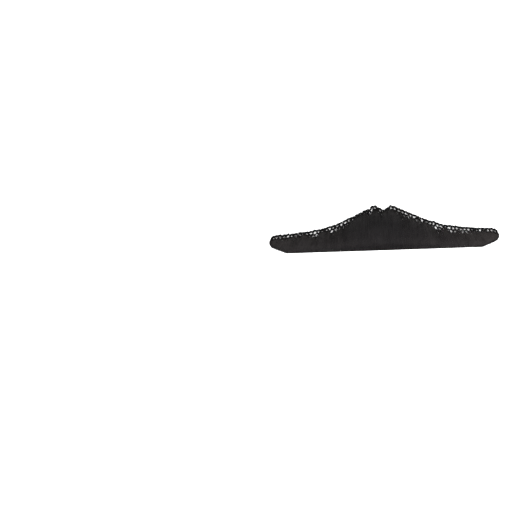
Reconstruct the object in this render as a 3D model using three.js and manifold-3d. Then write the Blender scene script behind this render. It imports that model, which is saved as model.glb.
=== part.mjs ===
// A theatrical moustache: short dark hair tied to the front of a hexagonal lace net.
// The two wings of hair are combed down and out from a centre parting and trimmed straight along the lip.
// Millimetres. X runs from tip to tip, +Y points up the lip to the nose, +Z points out through the hair.
// The moustache lies on the back of its lace, at z = 0, and the origin is the middle of that back.
import * as THREE from "three";
import { mergeVertices } from "three/addons/utils/BufferGeometryUtils.js";
import Module from "manifold-3d";

const wasm = await Module();
wasm.setup();

// Outline of the cut lace, measured up from the trimmed edge of the hair
const moustacheLength = 85;
const peakHeight = 16.5;
const peakSpacing = 5.68;
const notchDepth = 1.85;
const endHeight = 6.75;
const tipRadius = 2.6;
const trimAngle = THREE.MathUtils.degToRad(21);

// The ski-slope fall of the top edge from a peak to the round tip:
// run is a share of the way along, rise a share of the height left to fall
const topEdgeFall = [
  { run: 0.075, rise: 0.88 },
  { run: 0.21, rise: 0.645 },
  { run: 0.37, rise: 0.38 },
  { run: 0.52, rise: 0.195 },
  { run: 0.7, rise: 0.09 },
  { run: 0.85, rise: 0.035 },
  { run: 1.0, rise: 0.0 },
];

// Lace net
const laceThickness = 0.4;
const cellPitch = 1.42;
const threadWidth = 0.65;
const cutSlack = 0.3;
const leastCellShare = 0.45;
const openDepth = 3.1;
const fringeLength = 4.2;
const endFringe = 1.6;

// Hair
const seatGap = 0.2;
const partingGap = 0.3;
const hairlineInset = 1.45;
const tipBare = 0.15;
const tipWrap = THREE.MathUtils.degToRad(25);
const matThickness = 0.5;
const hairLoft = 2.1;
const tipLoft = 1.1;
const locksPerWing = 16;
const lockOverlap = 1.4;
const partingLean = THREE.MathUtils.degToRad(4);
const tipLean = THREE.MathUtils.degToRad(38);
const leanPower = 1.6;
const loftPower = 1.5;
const earlySweep = 0.35;
const widthVariation = 0.14;
const heightVariation = 0.1;

// The two layers of locks, the under layer first: width and height are shares of an even lock's,
// stagger moves each lock along by a share of their spacing, and cross turns it against the layer below
const lockLayers = [
  { width: 1.0, height: 1.0, stagger: 0.5, cross: 0 },
  { width: 0.5, height: 1.12, stagger: 1.0, cross: THREE.MathUtils.degToRad(3) },
];

// How thick a lock stands on its way from root to trimmed end, as shares of its length and of its loft
const lockProfile = [
  { along: 0.0, height: 0.16 },
  { along: 0.14, height: 0.55 },
  { along: 0.34, height: 0.88 },
  { along: 0.58, height: 1.0 },
  { along: 0.8, height: 0.86 },
  { along: 1.0, height: 0.5 },
];

// Half of a lock's cross-section, from its crown to its foot, as shares of its half width and height
const lockSection = [
  { out: 0.0, up: 1.0 },
  { out: 0.55, up: 0.78 },
  { out: 1.0, up: 0.0 },
];

const halfLength = moustacheLength / 2;
const peakX = peakSpacing / 2;
const tipX = halfLength - tipRadius;
const hairFloor = laceThickness + seatGap;
const trimHeight = hairFloor + 2 * hairLoft;
const trimOverrun = 1;

// Fineness: straight steps to each arc or curve, and the distance within which two corners count as one
const curveSteps = 4;
const weldDistance = 1e-4;
const cornerGrain = 0.01;

// Points of the right half of the top edge, from the notch out to where the round tip begins
function topEdgePoints(inset) {
  const notch = new THREE.Vector2(0, peakHeight - notchDepth - inset);
  const peak = new THREE.Vector2(peakX, peakHeight - inset);
  const slope = topEdgeFall.map(
    ({ run, rise }) =>
      new THREE.Vector2(
        THREE.MathUtils.lerp(peakX, tipX, run),
        THREE.MathUtils.lerp(endHeight, peakHeight, rise) - inset,
      ),
  );
  return [notch, peak, ...slope];
}

// Height of the top edge, less an inset, above the trimmed edge. Past tipX it falls with the round tip.
function topEdgeAt(x, inset) {
  const points = topEdgePoints(inset);
  const reach = Math.min(Math.abs(x), tipX);
  const next = Math.max(1, points.findIndex((point) => point.x >= reach));
  const [from, to] = [points[next - 1], points[next]];
  const pastTip = Math.min(Math.abs(x) - reach, tipRadius);
  const drop = tipRadius - Math.sqrt(tipRadius ** 2 - pastTip ** 2);
  return THREE.MathUtils.mapLinear(reach, from.x, to.x, from.y, to.y) - drop;
}

const mirrored = (point) => new THREE.Vector2(-point.x, point.y);

// Where the trimmed corner meets the round tip, and where it meets the straight trimmed edge
function trimCorner(inset) {
  const radius = tipRadius - inset;
  const touch = new THREE.Vector2(
    tipX + radius * Math.sin(trimAngle),
    endHeight - tipRadius - radius * Math.cos(trimAngle),
  );
  return { touch, radius, startX: touch.x - touch.y / Math.tan(trimAngle) };
}

// The line that the lace is cut to: along the top and round both tips. Below, an arc leaves the fringe free.
function laceOutline() {
  const shape = new THREE.Shape();
  const centreY = endHeight - tipRadius;
  const cornerX = trimCorner(0).startX;
  const right = topEdgePoints(0);
  shape.moveTo(-cornerX, endFringe);
  shape.quadraticCurveTo(0, 2 * fringeLength - endFringe, cornerX, endFringe);
  shape.lineTo(halfLength, centreY);
  shape.absarc(tipX, centreY, tipRadius, 0, Math.PI / 2, false);
  shape.splineThru([...right.slice(0, -1).reverse(), ...right.slice(1).map(mirrored)]);
  shape.absarc(-tipX, centreY, tipRadius, Math.PI / 2, Math.PI, false);
  shape.closePath();
  return shape;
}

// One wing of hair, right of the parting: the trimmed edge and corner below, the hairline above
function wingOutline() {
  const shape = new THREE.Shape();
  const { touch, radius } = trimCorner(tipBare);
  const hairline = topEdgePoints(hairlineInset);
  const innerX = partingGap / 2;
  const innerY = THREE.MathUtils.lerp(hairline[0].y, hairline[1].y, innerX / peakX);
  shape.moveTo(innerX, 0);
  shape.lineTo(trimCorner(0).startX, 0);
  shape.lineTo(touch.x, touch.y);
  shape.absarc(tipX, endHeight - tipRadius, radius, trimAngle - Math.PI / 2, tipWrap, false);
  shape.splineThru([...hairline.slice(1).reverse(), new THREE.Vector2(innerX, innerY)]);
  shape.closePath();
  return shape;
}

// A closed geometry as a solid to join and cut
function solidFrom(geometry) {
  const bare = geometry.clone();
  bare.deleteAttribute("normal");
  bare.deleteAttribute("uv");
  const welded = mergeVertices(bare, weldDistance);
  return new wasm.Manifold(
    new wasm.Mesh({
      numProp: 3,
      vertProperties: new Float32Array(welded.attributes.position.array),
      triVerts: new Uint32Array(welded.index.array),
    }),
  );
}

function geometryFrom(solid) {
  const { vertProperties, triVerts } = solid.getMesh();
  const geometry = new THREE.BufferGeometry();
  geometry.setAttribute("position", new THREE.BufferAttribute(vertProperties, 3));
  geometry.setIndex(new THREE.BufferAttribute(triVerts, 1));
  geometry.computeVertexNormals();
  return geometry;
}

// A flat outline raised into a plate
function plate(shape, thickness, bottom) {
  const geometry = new THREE.ExtrudeGeometry(shape, {
    depth: thickness,
    bevelEnabled: false,
    curveSegments: curveSteps,
  });
  geometry.translate(0, 0, bottom);
  return solidFrom(geometry);
}

// Shortest way from a point to the outline's line
function distanceToOutline(point, outline) {
  const nearest = new THREE.Vector3();
  const target = new THREE.Vector3(point.x, point.y, 0);
  return Math.min(
    ...outline.map((start, index) => {
      const end = outline[(index + 1) % outline.length];
      const side = new THREE.Line3(
        new THREE.Vector3(start.x, start.y, 0),
        new THREE.Vector3(end.x, end.y, 0),
      );
      return side.closestPointToPoint(target, true, nearest).distanceTo(target);
    }),
  );
}

function isInside(point, outline) {
  return outline.reduce((inside, start, index) => {
    const end = outline[(index + 1) % outline.length];
    const spans = start.y > point.y !== end.y > point.y;
    const crossing = start.x + ((point.y - start.y) / (end.y - start.y)) * (end.x - start.x);
    return spans && point.x < crossing ? !inside : inside;
  }, false);
}

const cornerRadius = (acrossFlats) => acrossFlats / 2 / Math.cos(Math.PI / 6);

// Where a point of the flat net lies once its rows follow the top edge
function laid(point) {
  return new THREE.Vector2(point.x, point.y + topEdgeAt(point.x, 0) - peakHeight);
}

// Middles of the net's cells, in rows along X hung from the peaks. The scissors keep each cell that lies far
// enough inside the cut line.
function netCells() {
  const outline = laceOutline().getPoints(curveSteps);
  const rowStep = cellPitch * Math.sin(Math.PI / 3);
  const topRow = peakHeight - cornerRadius((1 - cutSlack) * cellPitch + threadWidth);
  const columns = Math.ceil(halfLength / cellPitch);
  const cells = [];
  for (let row = 0; row * rowStep < peakHeight; row += 1) {
    for (let column = -columns; column <= columns; column += 1) {
      const centre = new THREE.Vector2((column + (row % 2) / 2) * cellPitch, topRow - row * rowStep);
      const place = laid(centre);
      if (isInside(place, outline) && distanceToOutline(place, outline) >= leastCellShare * cellPitch) {
        cells.push(centre);
      }
    }
  }
  return cells;
}

// Corners of a cell, anticlockwise. A cell stands on its point.
function hexagon(centre, acrossFlats) {
  const radius = cornerRadius(acrossFlats);
  return Array.from({ length: 6 }, (_, corner) => {
    const angle = ((corner + 0.5) * Math.PI) / 3;
    return new THREE.Vector2(
      centre.x + radius * Math.cos(angle),
      centre.y + radius * Math.sin(angle),
    );
  });
}

const cornerName = ({ x, y }) => `${Math.round(x / cornerGrain)} ${Math.round(y / cornerGrain)}`;

// The cells that meet at each corner of the net
function cellsAtCorners(cells) {
  const owners = new Map();
  for (const centre of cells) {
    for (const corner of hexagon(centre, cellPitch)) {
      const name = cornerName(corner);
      owners.set(name, [...(owners.get(name) ?? []), centre]);
    }
  }
  return owners;
}

// Where the thread at a corner lies. A corner that only one cell has left has lost its third thread and
// sinks back into that cell.
function settled(corner, owners) {
  const around = owners.get(cornerName(corner));
  return around.length > 1 ? corner.clone() : corner.clone().lerp(around[0], cutSlack);
}

// The zigzag line round all the cells, half a thread outside them: the sides that only one cell has,
// end to end
function netRim(cells, owners) {
  const sides = new Map();
  for (const centre of cells) {
    const corners = hexagon(centre, cellPitch);
    corners.forEach((corner, index) => {
      const next = corners[(index + 1) % corners.length];
      sides.set(`${cornerName(corner)} to ${cornerName(next)}`, { from: corner, to: next });
    });
  }
  const following = new Map();
  for (const { from, to } of sides.values()) {
    if (!sides.has(`${cornerName(to)} to ${cornerName(from)}`)) {
      following.set(cornerName(from), to);
    }
  }
  const outward = (corner) => {
    const around = owners.get(cornerName(corner));
    const middle = around
      .reduce((sum, centre) => sum.add(centre), new THREE.Vector2())
      .divideScalar(around.length);
    const away = corner.clone().sub(middle).setLength(threadWidth / Math.sqrt(3));
    return settled(corner, owners).add(away);
  };
  const highest = [...sides.values()].reduce((top, side) => (side.from.y > top.from.y ? side : top));
  const rim = [];
  let corner = highest.from;
  do {
    rim.push(laid(outward(corner)));
    corner = following.get(cornerName(corner));
  } while (cornerName(corner) !== cornerName(highest.from));
  return rim;
}

// The net: thread round every cell, open along the top edge where it shows and plain under the hair
function laceNet() {
  const cells = netCells();
  const owners = cellsAtCorners(cells);
  const shape = new THREE.Shape(netRim(cells, owners));
  const open = cells.filter((centre) => topEdgeAt(centre.x, 0) - laid(centre).y < openDepth);
  shape.holes = open.map((centre) => {
    const corners = hexagon(centre, cellPitch).map((corner) => settled(corner, owners));
    return new THREE.Path(corners.map((corner) => laid(corner.lerp(centre, threadWidth / cellPitch))));
  });
  return new THREE.ExtrudeGeometry(shape, { depth: laceThickness, bevelEnabled: false });
}

// A repeatable value from -1 to 1 for each lock. The golden angle keeps neighbours unlike.
const goldenAngle = Math.PI * (3 - Math.sqrt(5));
const varied = (index, phase) => Math.sin(index * goldenAngle + phase);

// Where the middle of a lock lies. place runs from 0 at the parting to 1 at the tip, along from 0 at the root
// to 1 just past the trimmed edge. A lock leans out from the start and straightens towards its end.
function lockCentre(place, along, cross) {
  const rootX = THREE.MathUtils.lerp(partingGap, tipX, place);
  const rootY = topEdgeAt(rootX, hairlineInset);
  const fall = rootY + trimOverrun;
  const lean = THREE.MathUtils.lerp(partingLean, tipLean, place ** leanPower) + cross;
  const sweep = Math.tan(lean) * fall * along * (1 + earlySweep * (1 - along));
  return new THREE.Vector2(rootX + sweep, rootY - fall * along);
}

// A closed loft through sections that lie in parallel planes
function loft(sections) {
  const count = sections[0].length;
  const index = [];
  for (let row = 0; row < sections.length - 1; row += 1) {
    for (let corner = 0; corner < count; corner += 1) {
      const [a, b] = [row * count + corner, row * count + ((corner + 1) % count)];
      index.push(a, b + count, b, a, a + count, b + count);
    }
  }
  const last = (sections.length - 1) * count;
  for (let corner = 1; corner < count - 1; corner += 1) {
    index.push(0, corner, corner + 1, last, last + corner + 1, last + corner);
  }
  const geometry = new THREE.BufferGeometry().setFromPoints(sections.flat());
  geometry.setIndex(index);
  return solidFrom(geometry);
}

// One lock of hair, flat beneath and domed on top
function lock(place, cross, widthShare, heightShare) {
  const step = 0.5 / locksPerWing;
  const loftHere = THREE.MathUtils.lerp(hairLoft, tipLoft, place ** loftPower) * heightShare;
  const sections = lockProfile.map(({ along, height }) => {
    const centre = lockCentre(place, along, cross);
    const spacing = lockCentre(place + step, along, 0).x - lockCentre(place - step, along, 0).x;
    const halfWidth = (spacing * lockOverlap * widthShare) / 2;
    const rise = loftHere * height;
    const corner = ({ out, up }, side) =>
      new THREE.Vector3(centre.x + side * out * halfWidth, centre.y, hairFloor + up * rise);
    const crownToFoot = lockSection.slice(1);
    return [
      ...crownToFoot.map((point) => corner(point, -1)).reverse(),
      corner(lockSection[0], 1),
      ...crownToFoot.map((point) => corner(point, 1)),
    ];
  });
  return loft(sections);
}

// The right-hand wing: a mat of roots with locks fused over it, trimmed to the outline. phase varies its
// locks.
function wing(phase) {
  let hair = plate(wingOutline(), matThickness, hairFloor);
  lockLayers.forEach(({ width, height, stagger, cross }, layer) => {
    for (let index = 0; index < locksPerWing; index += 1) {
      const place = (index + stagger) / locksPerWing;
      const turned = cross * varied(index, phase);
      const widthShare = width * (1 + widthVariation * varied(index, phase + layer));
      const heightShare = height * (1 + heightVariation * varied(index, 2 * phase + layer));
      hair = hair.add(lock(place, turned, widthShare, heightShare));
    }
  });
  return hair.intersect(plate(wingOutline(), trimHeight, 0));
}

function mesh(name, geometry, material) {
  const made = new THREE.Mesh(geometry, material);
  made.name = name;
  return made;
}

const hairMaterial = new THREE.MeshStandardMaterial({ color: 0x2a2726, roughness: 0.55, metalness: 0 });
const laceMaterial = new THREE.MeshStandardMaterial({ color: 0x1d1a19, roughness: 0.8, metalness: 0 });

const moustache = new THREE.Group();
moustache.name = "moustache";
const hairRight = mesh("hair_right", geometryFrom(wing(1)), hairMaterial);
const hairLeft = mesh("hair_left", geometryFrom(wing(2)), hairMaterial);
hairLeft.scale.x = -1;
moustache.add(mesh("lace_net", laceNet(), laceMaterial), hairRight, hairLeft);
moustache.position.y = -peakHeight / 2;

export default moustache;
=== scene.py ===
"""A false moustache as it looks: short combed hair tied to a hexagonal lace net, lying on its lace.

Metres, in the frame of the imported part. X runs from tip to tip, +Y points up the lip and +Z out
through the hair.
"""

import math

import bmesh
import bpy
import numpy as np
from bpy.props import FloatProperty, FloatVectorProperty, IntProperty, PointerProperty
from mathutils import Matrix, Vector
from mathutils.bvhtree import BVHTree


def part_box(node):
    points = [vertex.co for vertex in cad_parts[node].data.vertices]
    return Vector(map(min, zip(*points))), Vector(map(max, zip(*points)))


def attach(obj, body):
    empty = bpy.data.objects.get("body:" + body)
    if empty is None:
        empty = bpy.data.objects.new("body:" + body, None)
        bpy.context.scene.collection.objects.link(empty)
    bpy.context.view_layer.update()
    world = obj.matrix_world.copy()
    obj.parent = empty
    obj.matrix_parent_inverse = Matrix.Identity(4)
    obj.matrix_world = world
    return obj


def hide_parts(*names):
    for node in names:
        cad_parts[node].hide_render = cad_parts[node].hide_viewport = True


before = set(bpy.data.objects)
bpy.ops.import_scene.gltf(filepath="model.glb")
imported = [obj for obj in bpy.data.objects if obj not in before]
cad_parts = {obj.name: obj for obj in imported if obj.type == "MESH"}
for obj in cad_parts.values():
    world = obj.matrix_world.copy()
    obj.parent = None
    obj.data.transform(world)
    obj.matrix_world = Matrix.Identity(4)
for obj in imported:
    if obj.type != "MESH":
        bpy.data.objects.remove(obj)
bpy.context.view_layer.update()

bl_info = {
    "name": "Lace moustache",
    "version": (1, 0, 0),
    "blender": (4, 5, 0),
    "location": "View3D > Sidebar > Moustache",
    "description": "Makes a false moustache of combed hair tied to a hexagonal lace net",
    "category": "Add Mesh",
}

# The wings: side is the way of +X or -X. The seeds begin the random numbers of each layer of hair on
# a wing, of the lace and of the loops.
WINGS = [
    {"name": "right", "side": 1, "seed": 100},
    {"name": "left", "side": -1, "seed": 110},
]
LACE_SEED = 11
KNOT_SEED = 7

# Stretches of each wing, as shares of the way from the parting to the tip: covered, where hair lies
# over the open net along the hairline, and thin, where the hair just below the hairline lets the
# net show
STRETCHES = [
    {"wing": "right", "kind": "covered", "start": 0.0, "end": 0.055},
    {"wing": "right", "kind": "thin", "start": 0.12, "end": 0.21},
    {"wing": "right", "kind": "covered", "start": 0.35, "end": 0.37},
    {"wing": "right", "kind": "thin", "start": 0.45, "end": 0.51},
    {"wing": "right", "kind": "thin", "start": 0.66, "end": 0.72},
    {"wing": "right", "kind": "covered", "start": 0.83, "end": 0.86},
    {"wing": "right", "kind": "covered", "start": 0.96, "end": 1.1},
    {"wing": "left", "kind": "covered", "start": 0.15, "end": 0.31},
    {"wing": "left", "kind": "thin", "start": 0.33, "end": 0.45},
    {"wing": "left", "kind": "covered", "start": 0.5, "end": 0.56},
    {"wing": "left", "kind": "covered", "start": 0.67, "end": 0.71},
    {"wing": "left", "kind": "thin", "start": 0.74, "end": 0.78},
    {"wing": "left", "kind": "covered", "start": 0.96, "end": 1.1},
]

# Painted light on each wing: how much further towards the light shade the hair is painted at the tip than
# at the parting, and how strong the painted light by the hairline is
PAINTED_LIGHT = {
    "right": {"tip": 0.5, "roots": 1.5},
    "left": {"tip": 0.35, "roots": 1.0},
}

# The threads of the net. Shares of a thread's length or thickness, but for sides and rings.
THREAD = {
    "sides": 8,
    "rings": 8,
    "inside_knot": 0.18,  # where it comes out of the knot at a crossing
    "snipped_at": 0.62,  # where the rest of a snipped thread begins
    "thinnest": 0.85,  # of the thickest
    "arch": 0.15,  # how far it arches up between its knots, of the height it lies at
}

# The knots at the crossings: lumpy balls, from narrow to wide as shares of their size
CROSSING = {"segments": 12, "rings": 8, "narrow": 0.85, "wide": 1.1, "lump": 0.06, "lumps": 22}

# The ends of threads that the scissors have left beyond a crossing: from short to long in metres,
# turned aside by up to a share of their way, and flatter than wide
CUT_END = {"short": 0.00025, "long": 0.00042, "turn": 0.25, "flatness": 0.8}
CUT_END_RINGS = [
    {"along": 0.0, "width": 1.0},
    {"along": 0.5, "width": 0.95},
    {"along": 1.0, "width": 0.7},
]

# The hair looped round a thread: spread along it and least height in widths of the loop, and off
# its middle in widths of the thread. The loops are coloured as hair far from its cut end, clear of
# the painted light on the lower part and the painted shadow on the cut ends.
LOOP = {"sides": 4, "rings": 13, "turns": 1.3, "spread": 1.2, "off_middle": 0.2, "least_height": 0.55}
LOOP_MARKS = {"darkest": 0.0, "lightest": 0.3, "left_to_end": 0.012}

# How dense the hair is tied, as shares of full, with depths below the hairline in metres
TYING = {
    "overlap": 0.0003,  # how far past the parting a wing's hair is tied, in metres
    "stray": 0.01,  # over the open net, at the least
    "most_stray": 0.1,
    "cover": 0.75,  # over the open net in a covered stretch
    "first": 0.75,  # on the hairline
    "full_depth": 0.002,
    "thin": 0.3,  # just below the hairline in a thin stretch
    "thin_depth": 0.0014,
    "by_parting": 0.75,  # all the hair beside the parting
    "by_tip": 1.5,
}

# How a hair runs: lengths in metres, and rates in radians to the metre
COMBING = {
    "sides": 3,
    "shortest": 0.0007,
    "thinnest": 0.75,  # of the hair width
    "thickest": 1.2,
    "knot_height": 0.0003,
    "knot_scatter": 0.00009,
    "settling": 1.6,  # rise lengths in which it comes from its knot to its line
    "clump_pull": 0.12,  # share of the way to the middle of its clump that it gives
    "clump_drift": 0.5,  # how far the bounds of the clumps wander, in clump widths
    "clump_rate": 900,
    "wave": 0.00006,
    "wave_rate": 700,
    "wave_start": 0.002,
    "level_wave": 0.02,  # of the height of the hair
    "level_wave_rate": 500,
}

# The shade of a hair, from 0 for dark to 1 for light. The clump step is far from whole turns, so
# that each clump has a shade of its own. The power shapes the painted light that grows towards the tip.
SHADE = {"middle": 0.15, "spread": 0.1, "clump": 0.03, "clump_step": 7919, "painted_light_power": 1.7}

# The soft streaks that run along the hair, and how far they move its shade
STREAKS = {"scale": 900, "stretch": (1, 0.12, 1), "detail": 3, "shift": 0.08}
HAIR_SURFACE = {"smoothest": 0.45, "roughest": 0.6, "shine": 0.08}

# Lengths left to the cut end, in metres, where the painted light and slightly redder tint of the lower
# part begin and are full, and where the painted shadow on the very ends begins and is full
LOWER_LIGHT_FADE = {"begins": 0.009, "full": 0.002}
END_SHADOW_FADE = {"begins": 0.0006, "full": 0.0003}

# The fuzz of the thread: how much lighter its lightest fibres are, and how far they stand off
FUZZ = {"scale": 9000, "detail": 3, "lighter": 5, "strength": 0.4, "distance": 0.00004}
THREAD_SURFACE = {"smoothest": 0.7, "roughest": 0.9, "shine": 0.06}

# The part of its range that a noise mostly keeps to
NOISE_LOW = 0.3
NOISE_HIGH = 0.7

# The pale floor, and how near the camera still sees
FLOOR = {"grain": 60, "darker": 0.99, "roughness": 0.9, "shine": 0.1}
NEAREST_SEEN = 0.01

# How the net's rows fall from a peak to its tip: run is a share of the way along, and rise a share
# of the fall still to go
ROW_FALL = [
    {"run": 0.0, "rise": 1.0},
    {"run": 0.075, "rise": 0.88},
    {"run": 0.21, "rise": 0.645},
    {"run": 0.37, "rise": 0.38},
    {"run": 0.52, "rise": 0.195},
    {"run": 0.7, "rise": 0.09},
    {"run": 0.85, "rise": 0.035},
    {"run": 1.0, "rise": 0.0},
]

# The layers of hair on each wing. A layer is tied down to reach, a share of the way from hairline to
# trimmed edge. Its hairs lie between the levels low and high, as shares of the height of the solid
# hair. Share is how many hairs it has, of those in a full layer.
HAIR_LAYERS = [
    {"name": "under", "reach": 0.95, "low": 0.02, "high": 0.8, "share": 0.85, "seed": 0},
    {"name": "top", "reach": 0.3, "low": 0.82, "high": 1.0, "share": 1.0, "seed": 1},
]

# The rings of a hair, as shares of its length from knot to cut end, and its width there as a share
# of its full width. They are close together where it leaves the net.
HAIR_RINGS = [
    {"along": 0.0, "width": 0.8},
    {"along": 0.07, "width": 1.0},
    {"along": 0.17, "width": 1.0},
    {"along": 0.35, "width": 1.0},
    {"along": 0.57, "width": 1.0},
    {"along": 0.79, "width": 0.95},
    {"along": 1.0, "width": 0.85},
]

# Painted light on the lower part of the hair, which is also a little redder: how much brighter it is
# than the upper part, in red, green and blue
LOWER_LIGHT_AND_TINT = (1.24, 1.15, 1.15)


def column(table, name):
    return np.array([row[name] for row in table])


def lerp(start, end, share):
    return start + (end - start) * share


def length(**settings):
    return FloatProperty(unit="LENGTH", **settings)


class LaceSizes(bpy.types.PropertyGroup):
    """The net of thread that carries the hair."""

    cell_pitch: length(
        name="Cell pitch",
        description="Distance between the middles of neighbouring cells",
        default=0.00142,
    )
    peak_height: length(
        name="Peak height",
        description="Height of the two peaks of the top edge above the trimmed edge of the hair",
        default=0.0165,
    )
    peak_spacing: length(
        name="Peak spacing",
        description="Distance between the two peaks",
        default=0.00568,
    )
    notch_depth: length(
        name="Notch depth",
        description="Depth of the notch between the peaks",
        default=0.00185,
    )
    end_height: length(
        name="End height",
        description="Height of the top edge at the tips above the trimmed edge of the hair",
        default=0.00675,
    )
    slope_run: length(
        name="Run of a slope",
        description="Distance along from a peak to where the tip begins to round",
        default=0.03706,
    )
    tip_radius: length(
        name="Tip radius",
        description="Radius of the round tips",
        default=0.0026,
    )
    rim_width: length(
        name="Rim width",
        description="Width of the band round each cell of the solid lace. It places the first row",
        default=0.00065,
    )
    cut_slack: FloatProperty(
        name="Cut slack",
        description="How far a crossing of two threads sinks back, as a share of a cell's radius",
        default=0.3,
    )
    thread_width: length(
        name="Thread width",
        description="Wide way across a two-ply thread",
        default=0.00048,
    )
    thread_height: length(
        name="Thread height",
        description="Narrow way across a two-ply thread",
        default=0.00042,
    )
    twist_length: length(
        name="Twist length",
        description="Length of thread that holds one turn of its twist",
        default=0.0009,
    )
    edge_share: FloatProperty(
        name="Edge share",
        description="Thickness of the threads along the cut edge, as a share of the others",
        default=1.6,
    )
    snipped_share: FloatProperty(
        name="Snipped share",
        description="Share of the threads along the cut edge that the scissors have gone through",
        default=0.12,
        min=0,
        max=1,
    )
    knot_width: length(
        name="Knot width",
        description="Width of the crossing where three threads of the net meet",
        default=0.0006,
    )
    unevenness: length(
        name="Unevenness",
        description="How far a crossing lies from its even place",
        default=0.00013,
    )
    colour: FloatVectorProperty(
        name="Thread colour",
        description="Colour of the thread",
        default=(0.0006, 0.00055, 0.00055),
        subtype="COLOR",
    )


class HairSizes(bpy.types.PropertyGroup):
    """The hair and how it is combed and trimmed."""

    hairs_per_layer: IntProperty(
        name="Hairs per layer",
        description="Hairs in a full layer of one wing",
        default=4500,
        min=100,
    )
    hair_width: length(
        name="Hair width",
        description="Width of a hair",
        default=0.00011,
    )
    parting_lean: FloatProperty(
        name="Lean at the parting",
        description="How far the hair at the parting leans outwards",
        default=math.radians(0.5),
        subtype="ANGLE",
    )
    tip_lean: FloatProperty(
        name="Lean at the tip",
        description="How far the hair at the tip leans outwards",
        default=math.radians(38),
        subtype="ANGLE",
    )
    tuft_spread: length(
        name="Tuft spread",
        description="How far the hairs of one knot fan out to either side",
        default=0.0005,
    )
    clump_width: length(
        name="Clump width",
        description="Width of the fine clumps that the hair gathers in",
        default=0.0011,
    )
    trim_raggedness: length(
        name="Trim raggedness",
        description="How far the cut ends stray from the trimmed edge",
        default=0.00007,
    )
    trim_allowance: length(
        name="Trim allowance",
        description="How far the cut ends reach past the trimmed edge of the solid hair",
        default=0.0001,
    )
    rise_length: length(
        name="Rise length",
        description="Length over which a hair rises from its knot to its level",
        default=0.0011,
    )
    loop_width: length(
        name="Loop width",
        description="Thickness of the looped hair that ties a knot round a thread",
        default=0.00012,
    )
    covered_reach: length(
        name="Covered reach",
        description="How far above the hairline some hairs are tied",
        default=0.0012,
    )
    stray_spacing: length(
        name="Stray spacing",
        description="Distance along the hairline between the places with most stray hair over the open net",
        default=0.0052,
    )
    # Root light and root length paint light on the hair by the hairline, where the lamp leaves it darker
    painted_root_light: FloatProperty(
        name="Root light",
        description="How much further towards the light shade the hair is at the hairline",
        default=0.5,
    )
    root_length: length(
        name="Root length",
        description="Distance below the hairline over which the light of the roots fades",
        default=0.0035,
    )
    # Painted shadow on the cut ends of the hairs
    end_painted_shadow: FloatProperty(
        name="End shade",
        description="Brightness of the very ends of the hairs, as a share of the rest",
        default=0.3,
    )
    dark: FloatVectorProperty(
        name="Dark hairs",
        description="Colour of the darkest hairs",
        default=(0.0035, 0.0031, 0.0036),
        subtype="COLOR",
    )
    light: FloatVectorProperty(
        name="Light hairs",
        description="Colour of the lightest hairs",
        default=(0.0137, 0.0130, 0.0127),
        subtype="COLOR",
    )


class StageSizes(bpy.types.PropertyGroup):
    """The floor, the light and the camera."""

    lens: FloatProperty(
        name="Lens",
        description="Focal length of the camera",
        default=85,
        subtype="DISTANCE_CAMERA",
    )
    view_width: length(
        name="View width",
        description="Width of the view at the lace",
        default=0.1944,
    )
    place_in_view: FloatVectorProperty(
        name="Place in view",
        description="How far the middle of the moustache lies right of and above the middle of the view",
        default=(0.0449, 0.0130),
        size=2,
        unit="LENGTH",
    )
    turn_in_view: FloatProperty(
        name="Turn in view",
        description="How far the moustache is turned anticlockwise in the view",
        default=math.radians(1.9),
        subtype="ANGLE",
    )
    floor_width: length(
        name="Floor width",
        description="Side of the square floor",
        default=3.0,
    )
    floor_colour: FloatVectorProperty(
        name="Floor colour",
        description="Colour of the floor",
        default=(0.9, 0.9, 0.9),
        subtype="COLOR",
    )
    lamp_place: FloatVectorProperty(
        name="Lamp place",
        description="Where the lamp stands. It points at the middle of the moustache",
        default=(0.42, -0.3, 0.55),
        subtype="XYZ",
        unit="LENGTH",
    )
    lamp_size: length(
        name="Lamp size",
        description="Width of the round lamp",
        default=0.7,
    )
    sky_strength: FloatProperty(
        name="Sky strength",
        description="Strength of the even white light from all round",
        default=2.3,
    )
    lamp_power: FloatProperty(
        name="Lamp power",
        description="Power of the large soft lamp above the moustache",
        default=8.7,
        subtype="POWER",
    )


def surface_of(node):
    """The solid surface of a node of the frame, to drop lines on."""
    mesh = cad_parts[node].data
    corners = [vertex.co for vertex in mesh.vertices]
    return BVHTree.FromPolygons(corners, [tuple(face.vertices) for face in mesh.polygons])


def height_over(surface, x, y, above=1.0):
    """Height of the surface straight under or over a place on the floor, or 0 where there is none."""
    place, *_ = surface.ray_cast(Vector((x, y, above)), Vector((0, 0, -1)))
    return place.z if place else 0.0


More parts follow.
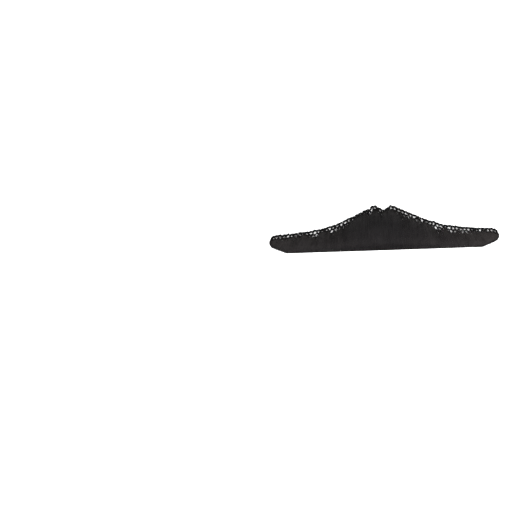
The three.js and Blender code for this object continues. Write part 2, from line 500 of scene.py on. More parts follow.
class HairForm:
    """The form that the hair takes: how high its top lies, on a grid read from the solid wings.

    The step of the grid is in metres. Counted in steps are the margin round the wings, the reach
    over which hollows between locks are closed, and the reach over which the form is softened. A
    place past the grid is read just short of its end.
    """

    step = 0.0001
    margin = 20
    closing = 13
    softening = 4
    short_of_end = 1.001

    def __init__(self):
        boxes = [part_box(f"hair_{wing['name']}") for wing in WINGS]
        low = np.min([box[0] for box in boxes], axis=0)
        high = np.max([box[1] for box in boxes], axis=0)
        self.floor = low[2]
        self.trimmed_y = low[1]
        self.tip_x = high[0]
        room = self.margin * self.step
        self.xs = np.arange(low[0] - room, high[0] + room, self.step)
        self.ys = np.arange(low[1] - room, high[1] + room, self.step)
        surfaces = {wing["side"]: surface_of(f"hair_{wing['name']}") for wing in WINGS}
        heights = np.array(
            [[height_over(surfaces[1 if x > 0 else -1], x, y) for x in self.xs] for y in self.ys]
        )
        reach = range(-self.closing, self.closing + 1)
        dilated = np.max([np.roll(heights, shift, axis=1) for shift in reach], axis=0)
        closed = np.min([np.roll(dilated, shift, axis=1) for shift in reach], axis=0)
        inside = closed > 0
        reach = range(-self.softening, self.softening + 1)
        shifts = [(down, across) for down in reach for across in reach]
        total = sum(np.roll(closed, shift, axis=(0, 1)) for shift in shifts)
        count = sum(np.roll(inside, shift, axis=(0, 1)) for shift in shifts)
        self.inside = inside.astype(float)
        self.heights = np.where(inside, total / np.maximum(count, 1), self.floor)
        tops = np.where(inside, self.ys[:, None], low[1]).max(axis=0)
        self.hairline_y = np.interp(self.xs, self.xs[tops > low[1]], tops[tops > low[1]])

    def read(self, grid, x, y):
        """The value of a grid at any place, between the four values round it."""
        across = np.clip((x - self.xs[0]) / self.step, 0, len(self.xs) - self.short_of_end)
        down = np.clip((y - self.ys[0]) / self.step, 0, len(self.ys) - self.short_of_end)
        place, row = across.astype(int), down.astype(int)
        upper = lerp(grid[row, place], grid[row, place + 1], across - place)
        lower = lerp(grid[row + 1, place], grid[row + 1, place + 1], across - place)
        return lerp(upper, lower, down - row)

    def height(self, x, y):
        return self.read(self.heights, x, y)

    def holds(self, x, y):
        return self.read(self.inside, x, y) > 0.5

    def hairline(self, x):
        return np.interp(x, self.xs, self.hairline_y)


class Net:
    """The lattice of the lace: the crossings, the threads between them, and where hair can be tied.

    Corners of cells that are the same within a share of the cell pitch are one crossing. A crossing
    of one cell alone has lost its third thread to the scissors, and sinks back towards that cell.
    """

    same_within = 0.05

    def __init__(self, sizes):
        self.sizes = sizes
        self.lie = sizes.edge_share * sizes.thread_width / 2
        turns = (np.arange(6) + 0.5) * math.pi / 3
        ring = np.stack([np.cos(turns), np.sin(turns)], axis=1)
        self.ring = sizes.cell_pitch / math.sqrt(3) * ring
        centres = self.cells()
        corners = (centres[:, None] + self.ring).reshape(-1, 2)
        keys = np.rint(corners / (sizes.cell_pitch * self.same_within)).astype(int)
        _, first, owner, cells_there = np.unique(
            keys, axis=0, return_index=True, return_inverse=True, return_counts=True
        )
        rings = owner.reshape(-1, 6)
        pairs = np.stack([rings, np.roll(rings, -1, axis=1)], axis=2).reshape(-1, 2)
        self.threads, cells_beside = np.unique(np.sort(pairs, axis=1), axis=0, return_counts=True)
        self.at_edge = cells_beside == 1
        even, beside = corners[first], centres[first // 6]
        lone = cells_there == 1
        sunk = lerp(even, beside, sizes.cut_slack)
        self.cut = np.flatnonzero(lone)
        self.ways_out = unit(self.laid(even) - self.laid(beside))
        self.crossings = self.laid(np.where(lone[:, None], sunk, even))
        ends = self.crossings[self.threads[self.at_edge]]
        edge_length = np.linalg.norm(ends[:, 1] - ends[:, 0], axis=1).sum()
        cells_area = len(centres) * math.sqrt(3) / 2 * sizes.cell_pitch**2
        self.area = cells_area + edge_length * sizes.rim_width / 2

    def cells(self):
        """The middles, in the flat net, of the cells whose every side lies on the solid lace."""
        sizes = self.sizes
        low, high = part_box("lace_net")
        lace = surface_of("lace_net")
        pitch = sizes.cell_pitch
        row_step = pitch * math.sin(math.pi / 3)
        peak_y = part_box("hair_right")[0].y + sizes.peak_height
        first_row = peak_y - ((1 - sizes.cut_slack) * pitch + sizes.rim_width) / math.sqrt(3)
        columns = math.ceil(high.x / pitch)
        rows = math.ceil((first_row - low.y) / row_step) + 1
        centres = []
        for row in range(rows):
            for place in range(-columns, columns + 1):
                centre = np.array([(place + (row % 2) / 2) * pitch, first_row - row * row_step])
                corners = centre + (1 - sizes.cut_slack) * self.ring
                sides = self.laid((corners + np.roll(corners, -1, axis=0)) / 2)
                if all(height_over(lace, x, y) for x, y in sides):
                    centres.append(centre)
        if not centres:
            raise RuntimeError("no cell of the net lies on the lace")
        return np.array(centres)

    def laid(self, places):
        """Where places of the flat net lie once its rows follow the top edge."""
        sizes = self.sizes
        out = np.abs(places[..., 0])
        peak_x = sizes.peak_spacing / 2
        notch = sizes.notch_depth * np.clip(1 - out / peak_x, 0, 1)
        run = (out - peak_x) / sizes.slope_run
        still_to_fall = np.interp(run, column(ROW_FALL, "run"), column(ROW_FALL, "rise"))
        slope = (sizes.peak_height - sizes.end_height) * (1 - still_to_fall)
        past_tip = np.clip(out - peak_x - sizes.slope_run, 0, sizes.tip_radius)
        tip = sizes.tip_radius - np.sqrt(sizes.tip_radius**2 - past_tip**2)
        return np.stack([places[..., 0], places[..., 1] - notch - slope - tip], axis=-1)

    def middles(self):
        """The middle of each thread."""
        return self.crossings[self.threads].mean(axis=1)

    def directions(self):
        """The way that each thread runs."""
        return unit(self.crossings[self.threads[:, 1]] - self.crossings[self.threads[:, 0]])

    def ties(self):
        """Where hair can be tied: each crossing and the middle of each thread."""
        return np.concatenate([self.crossings, self.middles()])

    def cut_ends(self):
        """Crossings that have lost a thread to the scissors, and the way that the lost thread ran."""
        return self.crossings[self.cut], self.ways_out[self.cut]


def unit(vectors):
    return vectors / np.maximum(np.linalg.norm(vectors, axis=-1, keepdims=True), 1e-12)


def tubes(name, paths, widths, heights, sides, turns=0.0, start=0.0, beside=(0.0, 0.0, 1.0), marks=None):
    """Closed tubes along paths, all of one mesh. paths is tubes x rings x 3.

    widths and heights are across a tube, turns is how far its section is twisted at each ring and
    start the angle of its first corner. beside is a way that the tube never runs. marks are values
    by name to keep at each ring.
    """
    count, rings = paths.shape[:2]
    spread = (count, rings)
    tangents = unit(np.gradient(paths, axis=1))
    across = unit(np.cross(tangents, beside))
    up = np.cross(across, tangents)
    angles = np.arange(sides) * 2 * math.pi / sides + np.broadcast_to(start, spread)[..., None]
    untwisted = angles - np.broadcast_to(turns, spread)[..., None]
    half_width = np.broadcast_to(widths, spread)[..., None] / 2
    half_height = np.broadcast_to(heights, spread)[..., None] / 2
    reach = np.hypot(half_height * np.cos(untwisted), half_width * np.sin(untwisted))
    radius = half_width * half_height / reach
    x, y = radius * np.cos(angles), radius * np.sin(angles)
    points = paths[:, :, None] + x[..., None] * across[:, :, None] + y[..., None] * up[:, :, None]
    number = np.arange(count * rings * sides).reshape(count, rings, sides)
    next_number = np.roll(number, -1, axis=2)
    corners = [number[:, :-1], next_number[:, :-1], next_number[:, 1:], number[:, 1:]]
    quads = np.stack(corners, axis=3).reshape(-1, 4)
    caps = np.concatenate([number[:, 0, ::-1], number[:, -1]])
    mesh = bpy.data.meshes.new(name)
    mesh.from_pydata(points.reshape(-1, 3).tolist(), [], quads.tolist() + caps.tolist())
    mesh.polygons.foreach_set("use_smooth", np.repeat([True, False], [len(quads), len(caps)]))
    for label, values in (marks or {}).items():
        add_attribute(mesh, label, np.repeat(np.broadcast_to(values, spread).reshape(-1), sides))
    return mesh


def add_attribute(mesh, label, values):
    """Keeps a value at each point of a mesh, for its material to read."""
    mesh.attributes.new(label, "FLOAT", "POINT").data.foreach_set("value", values.astype(np.float32))


def blobs(name, places, size, dice, tone):
    """Small lumpy balls at places, each turned and stretched its own way, as one mesh."""
    ball = bpy.data.meshes.new(name + "_ball")
    shaper = bmesh.new()
    bmesh.ops.create_uvsphere(
        shaper, u_segments=CROSSING["segments"], v_segments=CROSSING["rings"], radius=0.5
    )
    bmesh.ops.triangulate(shaper, faces=shaper.faces)
    shaper.to_mesh(ball)
    shaper.free()
    corners = np.array([vertex.co for vertex in ball.vertices])
    faces = np.array([tuple(face.vertices) for face in ball.polygons])
    bpy.data.meshes.remove(ball)
    count = len(places)
    turn = dice.uniform(0, 2 * math.pi, count)
    stretch = dice.uniform(CROSSING["narrow"], CROSSING["wide"], (count, 3)) * size
    points = corners[None] * stretch[:, None]
    points *= 1 + CROSSING["lump"] * np.sin(CROSSING["lumps"] * corners[None, :, :1] + turn[:, None, None])
    cosine, sine = np.cos(turn)[:, None], np.sin(turn)[:, None]
    x, y, z = points[..., 0], points[..., 1], points[..., 2]
    turned = np.stack([x * cosine - y * sine, x * sine + y * cosine, z], axis=2) + places[:, None]
    joined = faces[None] + len(corners) * np.arange(count)[:, None, None]
    mesh = bpy.data.meshes.new(name)
    mesh.from_pydata(turned.reshape(-1, 3).tolist(), [], joined.reshape(-1, 3).tolist())
    mesh.polygons.foreach_set("use_smooth", np.ones(len(mesh.polygons), bool))
    add_attribute(mesh, "tone", np.repeat(tone, len(corners)))
    return mesh


def add_object(name, data):
    thing = bpy.data.objects.new(name, data)
    bpy.context.scene.collection.objects.link(thing)
    return thing


def add_piece(name, mesh, material):
    """Puts a finished mesh in the scene as a piece of the moustache."""
    mesh.materials.append(material)
    piece = add_object(name, mesh)
    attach(piece, "root")
    return piece


class NodeDesk:
    """Short words for wiring the nodes of one material."""

    def __init__(self, name):
        self.material = bpy.data.materials.new(name)
        self.material.use_nodes = True
        self.tree = self.material.node_tree
        self.tree.nodes.clear()
        self.shader = self.add("BsdfPrincipled")
        output = self.add("OutputMaterial")
        self.join(self.shader.outputs["BSDF"], output.inputs["Surface"])

    def add(self, kind, **settings):
        node = self.tree.nodes.new("ShaderNode" + kind)
        for key, value in settings.items():
            setattr(node, key, value)
        return node

    def join(self, source, target):
        self.tree.links.new(source, target)

    def value_of(self, label):
        return self.add("Attribute", attribute_name=label).outputs["Fac"]

    def mapped(self, source, start, end, low, high):
        node = self.add("MapRange")
        self.join(source, node.inputs["Value"])
        for socket, value in (("From Min", start), ("From Max", end), ("To Min", low), ("To Max", high)):
            node.inputs[socket].default_value = value
        return node.outputs["Result"]

    def spread(self, noise, low, high):
        """Spreads a noise, which keeps to the middle of its range, from low to high."""
        return self.mapped(noise, NOISE_LOW, NOISE_HIGH, low, high)

    def surface(self, finish, noise):
        """How smooth and how shiny the material is."""
        roughness = self.spread(noise, finish["smoothest"], finish["roughest"])
        self.join(roughness, self.shader.inputs["Roughness"])
        self.shader.inputs["Specular IOR Level"].default_value = finish["shine"]

    def mixed(self, share, first, second, blend="MIX"):
        node = self.add("Mix", data_type="RGBA", blend_type=blend)
        for socket, value in (("Factor", share), ("A", first), ("B", second)):
            target = next(s for s in node.inputs if s.name == socket and s.enabled)
            if isinstance(value, bpy.types.NodeSocket):
                self.join(value, target)
            elif socket == "Factor":
                target.default_value = value
            else:
                target.default_value = (*value, 1.0)
        return next(s for s in node.outputs if s.name == "Result" and s.enabled)

    def noise(self, scale, stretch=(1, 1, 1), detail=2.0):
        place = self.add("TexCoord").outputs["Object"]
        mapping = self.add("Mapping")
        mapping.inputs["Scale"].default_value = stretch
        self.join(place, mapping.inputs["Vector"])
        texture = self.add("TexNoise")
        texture.inputs["Scale"].default_value = scale
        texture.inputs["Detail"].default_value = detail
        self.join(mapping.outputs["Vector"], texture.inputs["Vector"])
        return texture.outputs["Fac"]

    def bump(self, height, strength, distance):
        node = self.add("Bump")
        node.inputs["Strength"].default_value = strength
        node.inputs["Distance"].default_value = distance
        self.join(height, node.inputs["Height"])
        self.join(node.outputs["Normal"], self.shader.inputs["Normal"])


def hair_material(sizes):
    """Smooth dark hair: each hair has its own shade, with soft streaks along it, painted light low down and
    painted shadow at its cut ends.
    """
    desk = NodeDesk("combed_hair")
    streak = desk.noise(STREAKS["scale"], STREAKS["stretch"], STREAKS["detail"])
    left = desk.value_of("left_to_end")
    shade = desk.add("Math", operation="ADD")
    desk.join(desk.value_of("tone"), shade.inputs[0])
    desk.join(desk.spread(streak, -STREAKS["shift"], STREAKS["shift"]), shade.inputs[1])
    own = desk.mixed(shade.outputs["Value"], sizes.dark, sizes.light)
    # Painted light on the lower part of the hair, which is also a little redder
    lower = desk.mapped(left, LOWER_LIGHT_FADE["begins"], LOWER_LIGHT_FADE["full"], low=0.0, high=1.0)
    lit_and_tinted = desk.mixed(lower, own, desk.mixed(1.0, own, LOWER_LIGHT_AND_TINT, "MULTIPLY"))
    # Painted shadow on the cut ends of the hairs
    end_shadow_share = desk.mapped(left, END_SHADOW_FADE["full"], END_SHADOW_FADE["begins"], low=1.0, high=0.0)
    shadowed = desk.mixed(1.0, lit_and_tinted, [sizes.end_painted_shadow] * 3, "MULTIPLY")
    desk.join(desk.mixed(end_shadow_share, lit_and_tinted, shadowed), desk.shader.inputs["Base Color"])
    desk.surface(HAIR_SURFACE, streak)
    return desk.material


def lace_material(sizes):
    """Matt black thread, fuzzy at close range."""
    desk = NodeDesk("lace_thread")
    fuzz = desk.noise(FUZZ["scale"], detail=FUZZ["detail"])
    lighter = [FUZZ["lighter"] * channel for channel in sizes.colour]
    shade = desk.add("Math", operation="MULTIPLY")
    desk.join(desk.value_of("tone"), shade.inputs[0])
    desk.join(fuzz, shade.inputs[1])
    colour = desk.mixed(shade.outputs["Value"], sizes.colour, lighter)
    desk.join(colour, desk.shader.inputs["Base Color"])
    desk.surface(THREAD_SURFACE, fuzz)
    desk.bump(fuzz, FUZZ["strength"], FUZZ["distance"])
    return desk.material


def thread_paths(net, sizes, dice):
    """Paths of the net's threads from knot to knot, and the thread that each belongs to.

    Crossings lie a little off their even places. A snipped thread of the edge is two short ends with
    a gap between.
    """
    inside, snipped_at = THREAD["inside_knot"], THREAD["snipped_at"]
    crossings = net.crossings + dice.normal(0, sizes.unevenness, net.crossings.shape)
    snipped = net.at_edge & (dice.uniform(0, 1, len(net.threads)) < sizes.snipped_share)
    whole, halves = np.flatnonzero(~snipped), np.flatnonzero(snipped)
    owner = np.concatenate([whole, halves, halves])
    counts = [len(whole), len(halves), len(halves)]
    first = np.repeat([inside, inside, snipped_at], counts)
    last = np.repeat([1 - inside, 1 - snipped_at, 1 - inside], counts)
    start, end = crossings[net.threads[owner, 0]], crossings[net.threads[owner, 1]]
    way = end - start
    beside = unit(np.stack([-way[:, 1], way[:, 0]], axis=1))
    share = lerp(first[:, None], last[:, None], np.linspace(0, 1, THREAD["rings"]))
    bend = np.sin(math.pi * share)
    bow = dice.normal(0, sizes.unevenness, len(net.threads))[owner, None] * bend
    flat = start[:, None] + share[..., None] * way[:, None] + bow[..., None] * beside[:, None]
    arch = dice.uniform(0, THREAD["arch"], (len(owner), 1)) * bend
    height = net.lie * (1 + arch)
    return crossings, np.concatenate([flat, height[..., None]], axis=2), owner


def make_threads(net, sizes, dice, material):
    """The two-ply threads from knot to knot, and where their crossings lie."""
    crossings, paths, owner = thread_paths(net, sizes, dice)
    lengths = np.linalg.norm(np.diff(paths, axis=1), axis=2).cumsum(axis=1)
    run = np.concatenate([np.zeros((len(paths), 1)), lengths], axis=1)
    turns = dice.uniform(0, math.pi, (len(paths), 1)) + 2 * math.pi * run / sizes.twist_length
    own_share = dice.uniform(THREAD["thinnest"], 1.0, len(net.threads))
    thickness = (own_share * np.where(net.at_edge, sizes.edge_share, 1.0))[owner, None]
    mesh = tubes(
        "lace_threads",
        paths,
        sizes.thread_width * thickness,
        sizes.thread_height * thickness,
        THREAD["sides"],
        turns,
        marks={"tone": dice.uniform(0, 1, (len(paths), 1))},
    )
    return add_piece("lace_threads", mesh, material), crossings


def make_crossings(net, crossings, sizes, dice, material):
    """The knots where three threads meet."""
    places = np.concatenate([crossings, np.full((len(crossings), 1), net.lie)], axis=1)
    size = np.tile([sizes.knot_width, sizes.knot_width, sizes.thread_width], (len(places), 1))
    thicker = math.sqrt(sizes.edge_share)
    size[np.unique(net.threads[net.at_edge])] *= (thicker, thicker, 1.0)
    mesh = blobs("lace_knots", places, size, dice, dice.uniform(0, 1, len(places)))
    return add_piece("lace_knots", mesh, material)


def make_cut_ends(net, sizes, dice, material):
    """The short ends of thread that stick out where the scissors cut the net along its edge."""
    places, ways = net.cut_ends()
    reach = dice.uniform(CUT_END["short"], CUT_END["long"], (len(places), 1))
    turn = dice.uniform(-CUT_END["turn"], CUT_END["turn"], (len(places), 1))
    ways = unit(ways + turn * np.stack([-ways[:, 1], ways[:, 0]], axis=1))
    rings = column(CUT_END_RINGS, "along")
    flat = places[:, None] + rings[None, :, None] * (ways * reach)[:, None]
    height = np.full((len(places), len(rings), 1), net.lie)
    width = sizes.thread_width * column(CUT_END_RINGS, "width")
    mesh = tubes(
        "lace_cut_ends",
        np.concatenate([flat, height], axis=2),
        width,
        width * CUT_END["flatness"],
        THREAD["sides"],
        marks={"tone": dice.uniform(0, 1, (len(places), 1))},
    )
    return add_piece("lace_cut_ends", mesh, material)


def make_lace(context):
    sizes = context.scene.moustache_lace
    dice = np.random.default_rng(LACE_SEED)
    net = Net(sizes)
    material = lace_material(sizes)
    threads, crossings = make_threads(net, sizes, dice, material)
    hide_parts("lace_net")
    knots = make_crossings(net, crossings, sizes, dice, material)
    ends = make_cut_ends(net, sizes, dice, material)


class Comb:
    """How one wing's hair runs from the hairline down and outwards to the trimmed edge.

    A line of hair is named by root_x, where it starts on the hairline, measured outwards. Along is a
    share of its way down.
    """

    overrun = 0.001
    lean_power = 1.6
    early_sweep = 0.35
    widest = 1.05
    tries = 12
    steps = 220

    def __init__(self, form, wing, sizes):
        self.form, self.sizes, self.side = form, sizes, wing["side"]
        # The wing's painted light, at its tip and by its hairline
        self.light = PAINTED_LIGHT[wing["name"]]
        self.stretches = [row for row in STRETCHES if row["wing"] == wing["name"]]

    def within(self, kind, outward):
        """Whether places along the wing lie within its stretches of one kind."""
        share = outward / self.form.tip_x
        rows = [row for row in self.stretches if row["kind"] == kind]
        return np.any([(share > row["start"]) & (share < row["end"]) for row in rows], axis=0)

    def lean(self, root_x):
        share = np.clip(root_x / self.form.tip_x, 0, self.widest)
        return lerp(self.sizes.parting_lean, self.sizes.tip_lean, share**self.lean_power)

    def fall(self, root_x):
        return self.form.hairline(self.side * root_x) - self.form.trimmed_y + self.overrun

    def sweep(self, root_x, along):
        shape = along * (1 + self.early_sweep * (1 - along))
        return np.tan(self.lean(root_x)) * self.fall(root_x) * shape

    def place(self, root_x, along):
        """A place on a line of hair, with x measured outwards."""
        y = self.form.hairline(self.side * root_x) - self.fall(root_x) * along
        return root_x + self.sweep(root_x, along), y

    def trace_back(self, x, y):
        """The line of hair that passes through a place, and how far along that line the place is."""
        root_x = x.copy()
        along = np.zeros_like(x)
        for _ in range(self.tries):
            along = (self.form.hairline(self.side * root_x) - y) / self.fall(root_x)
            root_x = x - self.sweep(root_x, along)
        return root_x, along

    def trimmed(self, root_x, start):
        """How far along each line of hair the scissors cut it, and whether it has any length."""
        share = np.linspace(0, 1, self.steps)
        along = lerp(start[:, None], 1.0, share)
        x, y = self.place(root_x[:, None], along)
        inside = self.form.holds(self.side * x, y)
        left = np.maximum.accumulate(inside, axis=1) & ~inside
        last = np.where(left.any(axis=1), left.argmax(axis=1), self.steps - 1)
        return lerp(start, 1.0, share[last]), inside.any(axis=1)


def tied(comb, ties, layer, dice):
    """A tie for each hair of one layer: its place, the line of hair it lies on and how far along."""
    form, sizes = comb.form, comb.sizes
    outward = comb.side * ties[:, 0]
    near = form.holds(ties[:, 0], ties[:, 1] - sizes.covered_reach)
    near &= outward > -TYING["overlap"]
    ties, outward = ties[near], outward[near]
    root_x, along = comb.trace_back(outward, ties[:, 1])
    depth = along * comb.fall(root_x)
    uneven = 0.5 + 0.5 * np.sin(outward * 2 * math.pi / sizes.stray_spacing)
    stray = lerp(TYING["stray"], TYING["most_stray"], uneven)
    over_net = np.where(comb.within("covered", outward), TYING["cover"], stray)
    full = np.clip(lerp(TYING["first"], 1.0, depth / TYING["full_depth"]), 0, 1)
    thinned = comb.within("thin", outward) & (depth < TYING["thin_depth"])
    rooted = np.where(thinned, TYING["thin"], full)
    weight = np.where(depth < 0, over_net, rooted)
    weight *= (along < layer["reach"]) & (depth > -sizes.covered_reach)
    weight *= lerp(TYING["by_parting"], TYING["by_tip"], outward / form.tip_x)
    count = int(sizes.hairs_per_layer * layer["share"])
    owner = dice.choice(len(ties), count, p=weight / weight.sum())
    return outward[owner], ties[owner, 1], root_x[owner], along[owner]


def rising(comb, x, y, run, level):
    """How high the hairs lie: each rises from its knot to its level under the top of the hair."""
    form, knot_height = comb.form, COMBING["knot_height"]
    top = form.height(comb.side * x, y)
    target = form.floor + np.clip(level, 0, 1) * (top - form.floor)
    return knot_height + (target - knot_height) * (1 - np.exp(-run / comb.sizes.rise_length))


def shades(comb, root_x, clump, depth, dice):
    """The shades of hairs at depths below the hairline, from 0 for dark to 1 for light, with painted light
    towards the tip and by the hairline.
    """
    sizes = comb.sizes
    own = SHADE["spread"] * dice.normal(0, 1, len(root_x))
    by_clump = SHADE["clump"] * np.sin(SHADE["clump_step"] * clump / sizes.clump_width)
    outward = np.clip(root_x / comb.form.tip_x, 0, None)
    # Painted light, growing towards the tip
    painted_light_by_tip = comb.light["tip"] * outward ** SHADE["painted_light_power"]
    # Painted light by the hairline, where the lamp leaves the hair darker
    painted_root_light = comb.light["roots"] * sizes.painted_root_light
    painted_light_by_root = painted_root_light * np.exp(-depth / sizes.root_length)
    return np.clip((SHADE["middle"] + own + by_clump + painted_light_by_tip)[:, None] + painted_light_by_root, 0, 1)


def hairs(comb, ties, layer, dice):
    """Paths and shades of one layer of hair, and how much of each hair is left to its cut end."""
    sizes = comb.sizes
    knot_x, knot_y, root_x, along = tied(comb, ties, layer, dice)
    root_x = root_x + dice.normal(0, sizes.tuft_spread, len(root_x))
    start = np.maximum(along, 0)
    end, kept = comb.trimmed(root_x, start)
    kept &= (end - start) * comb.fall(root_x) > COMBING["shortest"]
    knot_x, knot_y, root_x, start, end = (each[kept] for each in (knot_x, knot_y, root_x, start, end))
    count = len(root_x)
    fall = comb.fall(root_x)
    ragged = np.minimum(dice.normal(0, sizes.trim_raggedness, count), sizes.trim_raggedness)
    end = end + (ragged + sizes.trim_allowance) / fall

    rings = column(HAIR_RINGS, "along")[None]
    share = lerp(start[:, None], end[:, None], rings)
    drift = COMBING["clump_drift"] * np.sin(COMBING["clump_rate"] * root_x)
    clump = (np.floor(root_x / sizes.clump_width + drift) + 0.5) * sizes.clump_width
    pull = COMBING["clump_pull"] * np.clip(clump - root_x, -sizes.clump_width, sizes.clump_width)
    x, y = comb.place(root_x[:, None] + pull[:, None] * rings**2, share)
    run = (share - start[:, None]) * fall[:, None]
    settled = 1 - np.exp(-run / (COMBING["settling"] * sizes.rise_length))
    knot_x = knot_x + dice.normal(0, COMBING["knot_scatter"], count)
    knot_y = knot_y + dice.normal(0, COMBING["knot_scatter"], count)
    x = lerp(knot_x[:, None] + x - x[:, :1], x, settled)
    y = lerp(knot_y[:, None] + y - y[:, :1], y, settled)
    phase = dice.uniform(0, 2 * math.pi, (2, count, 1))
    begun = np.minimum(run / COMBING["wave_start"], 1)
    x = x + COMBING["wave"] * np.sin(phase[0] + COMBING["wave_rate"] * run) * begun

    level = dice.uniform(layer["low"], layer["high"], (count, 1))
    level = level + COMBING["level_wave"] * np.sin(phase[1] + COMBING["level_wave_rate"] * run)
    z = rising(comb, x, y, run, level)
    tone = shades(comb, root_x, clump, share * fall[:, None], dice)
    return np.stack([comb.side * x, y, z], axis=2), tone, run[:, -1:] - run


def make_knots(net, form, sizes, material):
    """The hair looped round the threads of the net where it is tied."""
    dice = np.random.default_rng(KNOT_SEED)
    middles, ways = net.middles(), net.directions()
    used = form.holds(middles[:, 0], middles[:, 1] - sizes.covered_reach)
    middles, ways = middles[used], ways[used]
    count = len(middles)
    rings = np.linspace(0, 1, LOOP["rings"])
    angle = dice.uniform(0, 2 * math.pi, (count, 1)) + LOOP["turns"] * 2 * math.pi * rings
    thread = net.sizes.thread_width * np.where(net.at_edge[used], net.sizes.edge_share, 1.0)[:, None]
    radius = (thread + sizes.loop_width) / 2
    aside = np.stack([-ways[:, 1], ways[:, 0]], axis=1)
    place = dice.uniform(-LOOP["off_middle"], LOOP["off_middle"], (count, 1)) * thread
    place = place + (rings - 0.5) * LOOP["turns"] * LOOP["spread"] * sizes.loop_width
    flat = middles[:, None] + place[..., None] * ways[:, None]
    flat = flat + (radius * np.cos(angle))[..., None] * aside[:, None]
    height = np.maximum(net.lie + radius * np.sin(angle), LOOP["least_height"] * sizes.loop_width)
    paths = np.concatenate([flat, height[..., None]], axis=2)
    beside = np.concatenate([ways, np.zeros((count, 1))], axis=1)[:, None]
    marks = {
        "tone": dice.uniform(LOOP_MARKS["darkest"], LOOP_MARKS["lightest"], (count, 1)),
        "left_to_end": LOOP_MARKS["left_to_end"],
    }
    width = sizes.loop_width
    mesh = tubes("hair_knots", paths, width, width, LOOP["sides"], beside=beside, marks=marks)
    add_piece("hair_knots", mesh, material)


def make_layer(comb, wing, ties, layer, material):
    """One layer of hair on one wing."""
    dice = np.random.default_rng(wing["seed"] + layer["seed"])
    paths, tone, left = hairs(comb, ties, layer, dice)
    spread = dice.uniform(COMBING["thinnest"], COMBING["thickest"], (len(paths), 1))
    widths = comb.sizes.hair_width * spread * column(HAIR_RINGS, "width")
    start = dice.uniform(0, math.pi, (len(paths), 1))
    marks = {"tone": tone, "left_to_end": left}
    name = f"hair_{layer['name']}_{wing['name']}"
    mesh = tubes(name, paths, widths, widths, COMBING["sides"], start=start, marks=marks)
    piece = add_piece(name, mesh, material)
    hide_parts(f"hair_{wing['name']}")


def make_hair(context):
    sizes = context.scene.moustache_hair
    net = Net(context.scene.moustache_lace)
    form = HairForm()
    ties = net.ties()
    material = hair_material(sizes)
    for wing in WINGS:
        comb = Comb(form, wing, sizes)
        for layer in HAIR_LAYERS:
            make_layer(comb, wing, ties, layer, material)
    make_knots(net, form, sizes, material)


def make_floor(sizes):
    mesh = bpy.data.meshes.new("floor")
    half = sizes.floor_width / 2
    corners = [(-half, -half, 0), (half, -half, 0), (half, half, 0), (-half, half, 0)]
    mesh.from_pydata(corners, [], [(0, 1, 2, 3)])
    desk = NodeDesk("pale_floor")
    grain = desk.noise(FLOOR["grain"])
    darker = [FLOOR["darker"] * channel for channel in sizes.floor_colour]
    desk.join(desk.mixed(grain, darker, sizes.floor_colour), desk.shader.inputs["Base Color"])
    desk.shader.inputs["Roughness"].default_value = FLOOR["roughness"]
    desk.shader.inputs["Specular IOR Level"].default_value = FLOOR["shine"]
    mesh.materials.append(desk.material)
    add_object("floor", mesh)


def make_light(sizes):
    world = bpy.data.worlds.new("studio")
    world.use_nodes = True
    background = world.node_tree.nodes["Background"]
    background.inputs["Color"].default_value = (1, 1, 1, 1)
    background.inputs["Strength"].default_value = sizes.sky_strength
    bpy.context.scene.world = world
    light = bpy.data.lights.new("soft_lamp", "AREA")
    light.shape = "DISK"
    light.size = sizes.lamp_size
    light.energy = sizes.lamp_power
    lamp = add_object("soft_lamp", light)
    lamp.location = sizes.lamp_place
    lamp.rotation_euler = (-lamp.location).to_track_quat("-Z", "Y").to_euler()


def make_camera(sizes):
    """A camera that looks straight down, with the moustache at its place in the view."""
    view = bpy.data.cameras.new("camera")
    view.lens = sizes.lens
    view.clip_start = NEAREST_SEEN
    camera = add_object("camera", view)
    turn = -sizes.turn_in_view
    right = Vector((math.cos(turn), math.sin(turn), 0))
    up = Vector((-math.sin(turn), math.cos(turn), 0))
    across, above = sizes.place_in_view
    distance = sizes.view_width * view.lens / view.sensor_width
    camera.location = -across * right - above * up + Vector((0, 0, distance))
    camera.rotation_euler = (0, 0, turn)
    bpy.context.scene.camera = camera


def make_stage(context):
    sizes = context.scene.moustache_stage
    make_floor(sizes)
    make_light(sizes)
    make_camera(sizes)
    context.scene.view_settings.view_transform = "Standard"


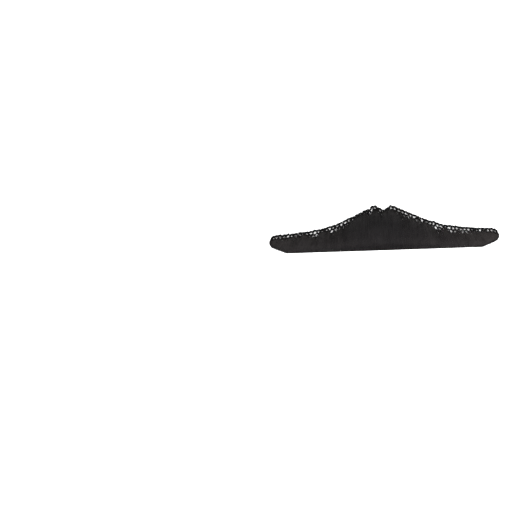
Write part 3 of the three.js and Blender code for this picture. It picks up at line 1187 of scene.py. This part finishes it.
class MOUSTACHE_OT_lace(bpy.types.Operator):
    """Make the hexagonal net of thread, its crossings and its cut ends"""

    bl_idname = "moustache.lace"
    bl_label = "Lace"

    def execute(self, context):
        make_lace(context)
        return {"FINISHED"}


class MOUSTACHE_OT_hair(bpy.types.Operator):
    """Comb the layers of hair over both wings and trim them"""

    bl_idname = "moustache.hair"
    bl_label = "Hair"

    def execute(self, context):
        make_hair(context)
        return {"FINISHED"}


class MOUSTACHE_OT_stage(bpy.types.Operator):
    """Lay the floor and set the light and the camera"""

    bl_idname = "moustache.stage"
    bl_label = "Stage"

    def execute(self, context):
        make_stage(context)
        return {"FINISHED"}


class MOUSTACHE_PT_panel(bpy.types.Panel):
    """Buttons and sizes for the moustache"""

    bl_idname = "MOUSTACHE_PT_panel"
    bl_label = "Moustache"
    bl_space_type = "VIEW_3D"
    bl_region_type = "UI"
    bl_category = "Moustache"

    def draw(self, context):
        for operator, group in OPERATORS.items():
            self.layout.operator(operator.bl_idname)
            sizes = getattr(context.scene, group)
            box = self.layout.box()
            for name in sizes.__annotations__:
                box.prop(sizes, name)


GROUPS = {"moustache_lace": LaceSizes, "moustache_hair": HairSizes, "moustache_stage": StageSizes}
OPERATORS = {
    MOUSTACHE_OT_lace: "moustache_lace",
    MOUSTACHE_OT_hair: "moustache_hair",
    MOUSTACHE_OT_stage: "moustache_stage",
}


def register():
    for name, group in GROUPS.items():
        bpy.utils.register_class(group)
        setattr(bpy.types.Scene, name, PointerProperty(type=group))
    for operator in OPERATORS:
        bpy.utils.register_class(operator)
    bpy.utils.register_class(MOUSTACHE_PT_panel)


def unregister():
    bpy.utils.unregister_class(MOUSTACHE_PT_panel)
    for operator in OPERATORS:
        bpy.utils.unregister_class(operator)
    for name, group in GROUPS.items():
        delattr(bpy.types.Scene, name)
        bpy.utils.unregister_class(group)


def main():
    register()
    bpy.ops.moustache.lace()
    bpy.ops.moustache.hair()
    bpy.ops.moustache.stage()


if __name__ == "__main__":
    main()
